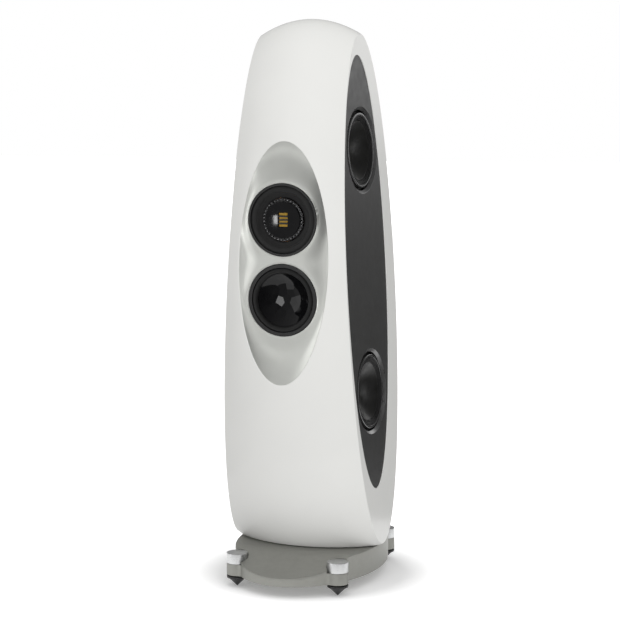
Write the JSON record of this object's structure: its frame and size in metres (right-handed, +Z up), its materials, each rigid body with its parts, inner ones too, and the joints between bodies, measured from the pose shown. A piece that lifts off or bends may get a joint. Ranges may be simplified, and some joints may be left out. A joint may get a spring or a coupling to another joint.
{
  "type": "floorstanding speaker",
  "caption": "Tall oval-sided floorstanding loudspeaker: coaxial and midrange drivers in an oval front waveguide, woofers in dark side panels, scooped plinth on adjustable spiked feet.",
  "frame": {"origin": "on the floor, midway between the four feet", "axes": "+Z up, -Y towards the listener, X across, with the speaker nearly symmetric about the YZ plane"},
  "size_m": [0.3322, 0.46, 1.195],
  "materials": {
    "white_lacquer": "high-gloss white lacquer over fibreboard",
    "waveguide_satin": "satin silver-grey paint",
    "panel_graphite": "satin graphite",
    "fibreboard": "raw fibreboard",
    "circuit_board": "satin",
    "copper": "enamelled copper wire",
    "black_plastic": "satin black",
    "gold_plate": "polished gold plate",
    "plate_grey": "satin warm grey",
    "steel": "zinc-plated",
    "brushed_aluminium": "brushed",
    "black_metal": "gloss black",
    "magnet": "ferrite",
    "cone_graphite": "satin dark anodised",
    "cone_gloss": "gloss black",
    "rubber": "satin black",
    "spider_cloth": "impregnated cloth"
  },
  "bodies": {
    "cabinet": {"cabinet_shell": "white_lacquer", "front_waveguide": "waveguide_satin", "side_panel_right": "panel_graphite", "side_panel_left": "panel_graphite", "internal_brace": "fibreboard", "mid_chamber": "fibreboard", "crossover_board": "circuit_board", "crossover_parts": "copper", "terminal_tray": "black_plastic", "terminal_studs": "gold_plate", "reflex_port": "black_plastic", "base_plate": "plate_grey", "base_spacers": "black_metal", "base_bolts": "steel", "foot_washers": "steel", "woofer_baskets": "black_metal", "woofer_motors": "magnet", "woofer_surround_right_upper": "rubber", "woofer_surround_right_lower": "rubber", "woofer_surround_left_upper": "rubber", "woofer_surround_left_lower": "rubber", "woofer_spider_right_upper": "spider_cloth", "woofer_spider_right_lower": "spider_cloth", "woofer_spider_left_upper": "spider_cloth", "woofer_spider_left_lower": "spider_cloth", "mid_basket": "black_metal", "mid_motor": "magnet", "mid_surround": "rubber", "mid_spider": "spider_cloth", "coax_basket": "black_metal", "coax_motor": "magnet", "coax_surround": "rubber", "coax_spider": "spider_cloth", "coax_slot_ring": "black_metal", "tweeter_body": "cone_gloss", "tweeter_ribbon": "gold_plate"},
    "woofer_right_upper": {"woofer_cone_right_upper": "cone_graphite", "woofer_coil_right_upper": "copper"},
    "woofer_right_lower": {"woofer_cone_right_lower": "cone_graphite", "woofer_coil_right_lower": "copper"},
    "woofer_left_upper": {"woofer_cone_left_upper": "cone_graphite", "woofer_coil_left_upper": "copper"},
    "woofer_left_lower": {"woofer_cone_left_lower": "cone_graphite", "woofer_coil_left_lower": "copper"},
    "mid_diaphragm": {"mid_cone": "cone_gloss", "mid_coil": "copper"},
    "coax_diaphragm": {"coax_cone": "cone_gloss", "coax_coil": "copper"},
    "foot_spike_front_right": {"foot_spike_front_right": "black_metal"},
    "foot_cap_front_right": {"foot_cap_front_right": "brushed_aluminium"},
    "foot_spike_front_left": {"foot_spike_front_left": "black_metal"},
    "foot_cap_front_left": {"foot_cap_front_left": "brushed_aluminium"},
    "foot_spike_rear_right": {"foot_spike_rear_right": "black_metal"},
    "foot_cap_rear_right": {"foot_cap_rear_right": "brushed_aluminium"},
    "foot_spike_rear_left": {"foot_spike_rear_left": "black_metal"},
    "foot_cap_rear_left": {"foot_cap_rear_left": "brushed_aluminium"},
    "terminal_cap_plus": {"terminal_cap_plus": "gold_plate"},
    "terminal_cap_minus": {"terminal_cap_minus": "gold_plate"}
  },
  "joints": [
    {"name": "woofer_right_upper_travel", "type": "slide", "parent": "cabinet", "child": "woofer_right_upper", "axis": [0.9983, -0.0261, 0.0523], "range_m": [-0.007, 0.007], "stiffness_N_per_m": 1500, "deforming": ["woofer_surround_right_upper", "woofer_spider_right_upper"]},
    {"name": "woofer_right_lower_travel", "type": "slide", "parent": "cabinet", "child": "woofer_right_lower", "axis": [0.9983, -0.0261, 0.0523], "range_m": [-0.007, 0.007], "stiffness_N_per_m": 1500, "deforming": ["woofer_surround_right_lower", "woofer_spider_right_lower"]},
    {"name": "woofer_left_upper_travel", "type": "slide", "parent": "cabinet", "child": "woofer_left_upper", "axis": [-0.9983, -0.0261, 0.0523], "range_m": [-0.007, 0.007], "stiffness_N_per_m": 1500, "deforming": ["woofer_surround_left_upper", "woofer_spider_left_upper"]},
    {"name": "woofer_left_lower_travel", "type": "slide", "parent": "cabinet", "child": "woofer_left_lower", "axis": [-0.9983, -0.0261, 0.0523], "range_m": [-0.007, 0.007], "stiffness_N_per_m": 1500, "deforming": ["woofer_surround_left_lower", "woofer_spider_left_lower"]},
    {"name": "mid_travel", "type": "slide", "parent": "cabinet", "child": "mid_diaphragm", "axis": [0, -1, 0], "range_m": [-0.004, 0.004], "stiffness_N_per_m": 2500, "deforming": ["mid_surround", "mid_spider"]},
    {"name": "coax_travel", "type": "slide", "parent": "cabinet", "child": "coax_diaphragm", "axis": [0, -1, 0], "range_m": [-0.002, 0.002], "stiffness_N_per_m": 4000, "deforming": ["coax_surround", "coax_spider"]},
    {"name": "foot_spike_front_right_travel", "type": "slide", "parent": "cabinet", "child": "foot_spike_front_right", "axis": [0, 0, -1], "range_m": [0, 0.008]},
    {"name": "foot_cap_front_right_turn", "type": "hinge", "parent": "cabinet", "child": "foot_cap_front_right", "pos_m": [0.113, -0.16, 0.06], "axis": [0, 0, -1], "range_deg": [0, 1925]},
    {"name": "foot_spike_front_left_travel", "type": "slide", "parent": "cabinet", "child": "foot_spike_front_left", "axis": [0, 0, -1], "range_m": [0, 0.008]},
    {"name": "foot_cap_front_left_turn", "type": "hinge", "parent": "cabinet", "child": "foot_cap_front_left", "pos_m": [-0.113, -0.16, 0.06], "axis": [0, 0, -1], "range_deg": [0, 1925]},
    {"name": "foot_spike_rear_right_travel", "type": "slide", "parent": "cabinet", "child": "foot_spike_rear_right", "axis": [0, 0, -1], "range_m": [0, 0.008]},
    {"name": "foot_cap_rear_right_turn", "type": "hinge", "parent": "cabinet", "child": "foot_cap_rear_right", "pos_m": [0.113, 0.16, 0.06], "axis": [0, 0, -1], "range_deg": [0, 1925]},
    {"name": "foot_spike_rear_left_travel", "type": "slide", "parent": "cabinet", "child": "foot_spike_rear_left", "axis": [0, 0, -1], "range_m": [0, 0.008]},
    {"name": "foot_cap_rear_left_turn", "type": "hinge", "parent": "cabinet", "child": "foot_cap_rear_left", "pos_m": [-0.113, 0.16, 0.06], "axis": [0, 0, -1], "range_deg": [0, 1925]},
    {"name": "terminal_cap_plus_turn", "type": "hinge", "parent": "cabinet", "child": "terminal_cap_plus", "pos_m": [0.02, 0.11, 0.215], "axis": [0, -1, 0], "range_deg": [-1080, 0]},
    {"name": "terminal_cap_minus_turn", "type": "hinge", "parent": "cabinet", "child": "terminal_cap_minus", "pos_m": [-0.02, 0.11, 0.215], "axis": [0, -1, 0], "range_deg": [-1080, 0]}
  ],
  "couplings": [
    {"joint": "foot_cap_front_right_turn", "follows": "foot_spike_front_right_travel", "rad_per_m": 4188.8},
    {"joint": "foot_cap_front_left_turn", "follows": "foot_spike_front_left_travel", "rad_per_m": 4188.8},
    {"joint": "foot_cap_rear_right_turn", "follows": "foot_spike_rear_right_travel", "rad_per_m": 4188.8},
    {"joint": "foot_cap_rear_left_turn", "follows": "foot_spike_rear_left_travel", "rad_per_m": 4188.8}
  ]
}
